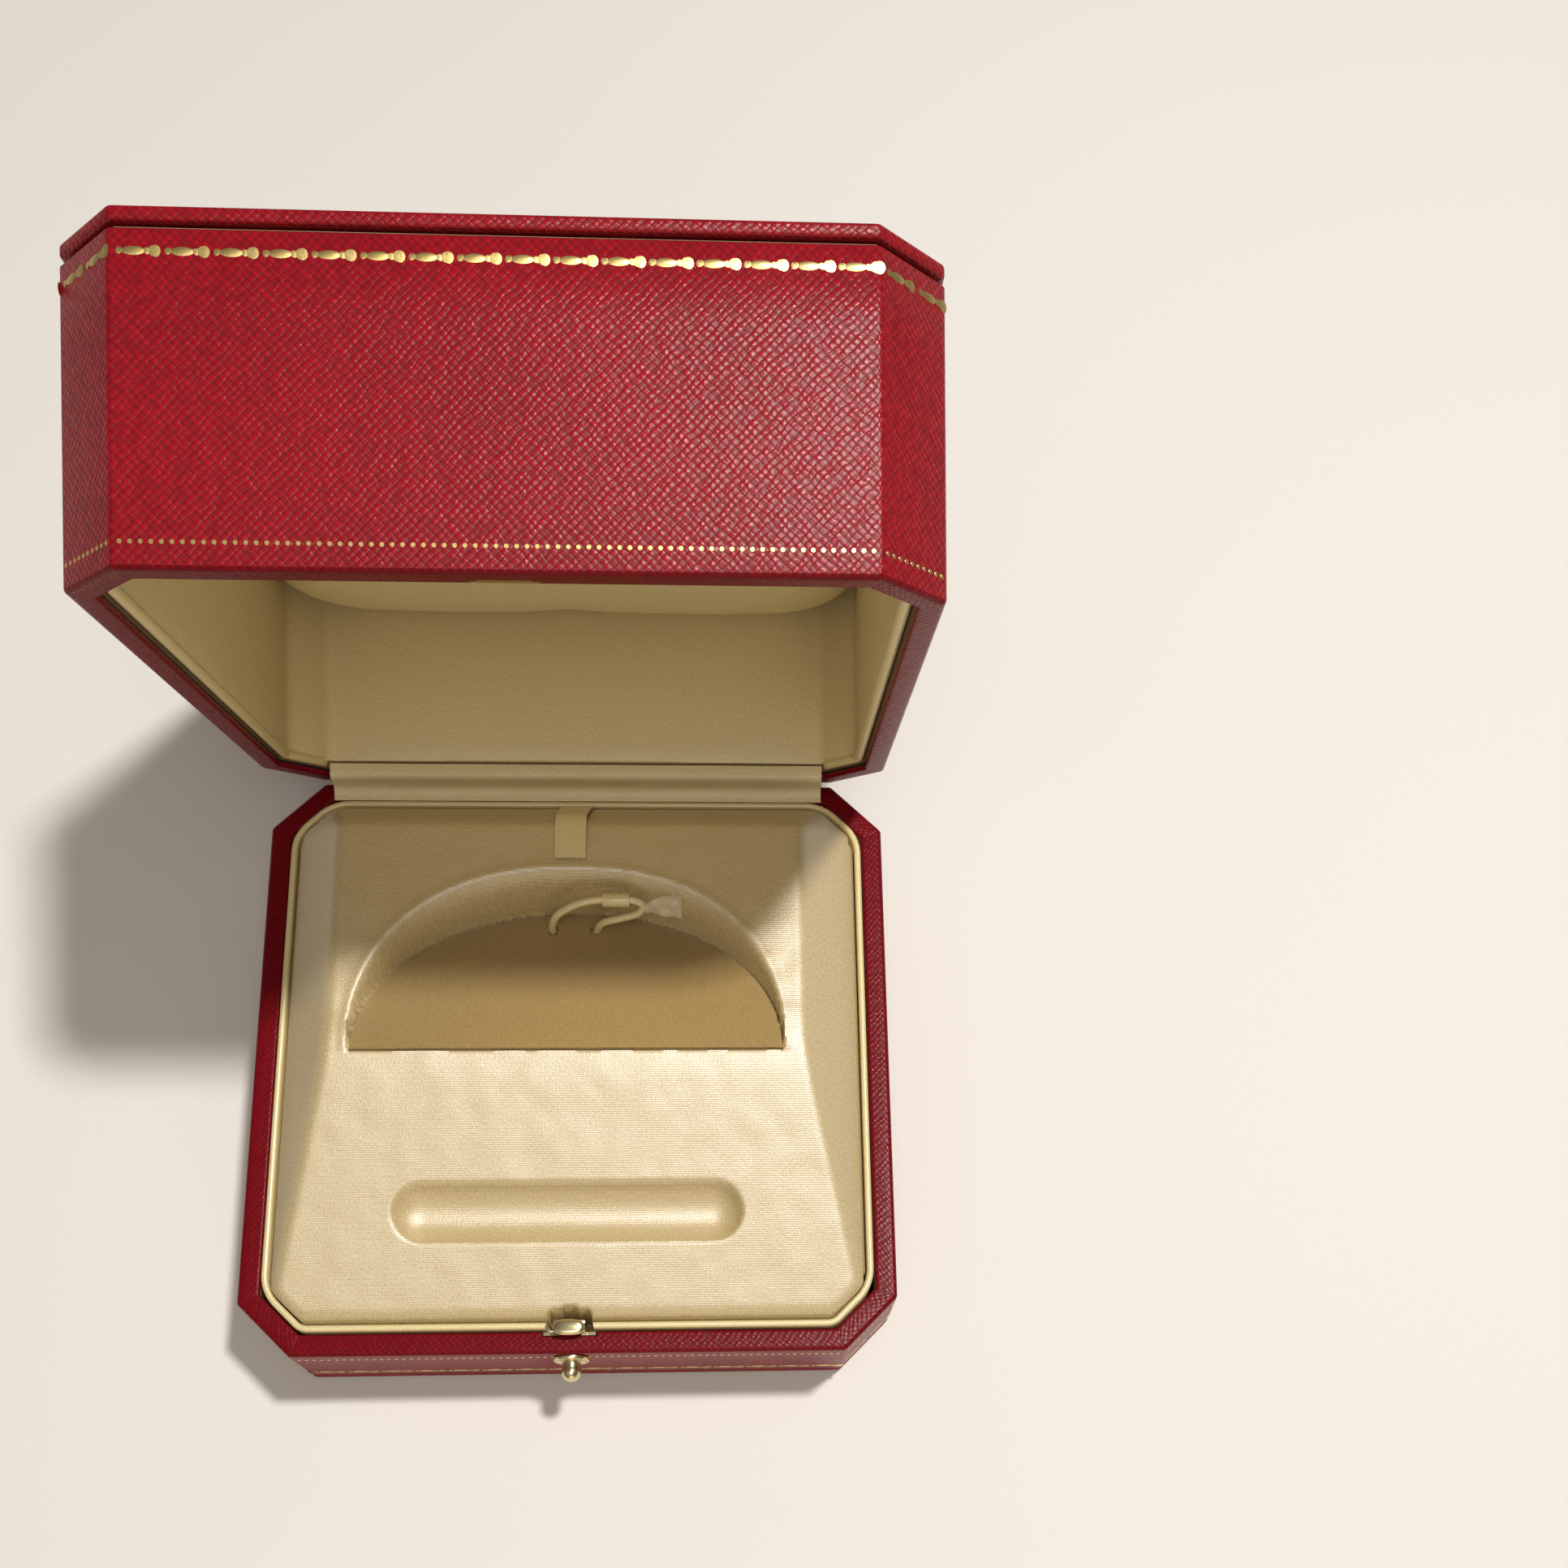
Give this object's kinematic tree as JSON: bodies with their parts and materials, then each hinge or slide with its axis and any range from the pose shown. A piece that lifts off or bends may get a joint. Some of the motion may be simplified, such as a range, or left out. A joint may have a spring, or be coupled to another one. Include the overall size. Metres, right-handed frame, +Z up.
{
  "type": "hinged jewellery presentation box",
  "caption": "Octagonal leather-covered presentation box with a deep hinged lid, push-button latch and a sloping satin pad with a half-moon bangle recess.",
  "frame": {"origin": "middle of the flat underside that stands on a table", "axes": "+Z up, +Y from the push button to the hinge, +X to the right as seen from the push button"},
  "size_m": [0.125, 0.1719, 0.1527],
  "materials": {
    "leather": "red cross-hatched leathercloth, satin sheen",
    "board": "raw pressed board, matt",
    "satin": "champagne satin over thin foam or card, soft sheen",
    "suede": "golden-beige napped cloth, matt",
    "brass": "pale polished brass",
    "steel": "plated steel",
    "underside_paper": "dark matt lining paper",
    "clear_plastic": "clear film"
  },
  "bodies": {
    "tub": {"bangle_strap": "satin", "base_collar": "satin", "base_core": "board", "base_foot_panel": "leather", "base_underside": "underside_paper", "base_wrap": "leather", "button_flange": "brass", "button_spring": "steel", "display_pad": "satin", "hinge_gusset": "satin", "hinge_leaf_base_left": "steel", "hinge_leaf_base_right": "steel", "hinge_pin_left": "steel", "hinge_pin_right": "steel", "hinge_spine": "leather", "hinge_spring_left": "steel", "hinge_spring_right": "steel", "insert_card": "board", "latch_bracket": "brass", "latch_screw_left": "brass", "latch_screw_right": "brass", "pull_tab": "satin", "recess_floor": "suede", "strap_sleeve": "satin", "strap_tie": "clear_plastic"},
    "lid": {"hinge_leaf_lid_left": "steel", "hinge_leaf_lid_right": "steel", "lid_ceiling_card": "board", "lid_ceiling_pad": "satin", "lid_core": "board", "lid_lining": "satin", "lid_top_panel": "leather", "lid_wrap": "leather", "strike_plate": "brass", "strike_screw_left": "brass", "strike_screw_right": "brass"},
    "button": {"push_button": "brass", "latch_hook": "brass"}
  },
  "joints": [
    {"name": "lid_hinge", "type": "hinge", "parent": "tub", "child": "lid", "pos_m": [0, 0.0602, 0.02365], "axis": [1, 0, 0], "range_deg": [0, 73.4], "stiffness_Nm_per_rad": 0.05, "springref_deg": -14.32, "deforming": ["hinge_gusset", "hinge_spine"]},
    {"name": "button_press", "type": "slide", "parent": "tub", "child": "button", "axis": [0, 1, 0], "range_m": [0, 0.0016], "stiffness_N_per_m": 900, "springref_m": -0.003, "deforming": ["button_spring"]}
  ]
}
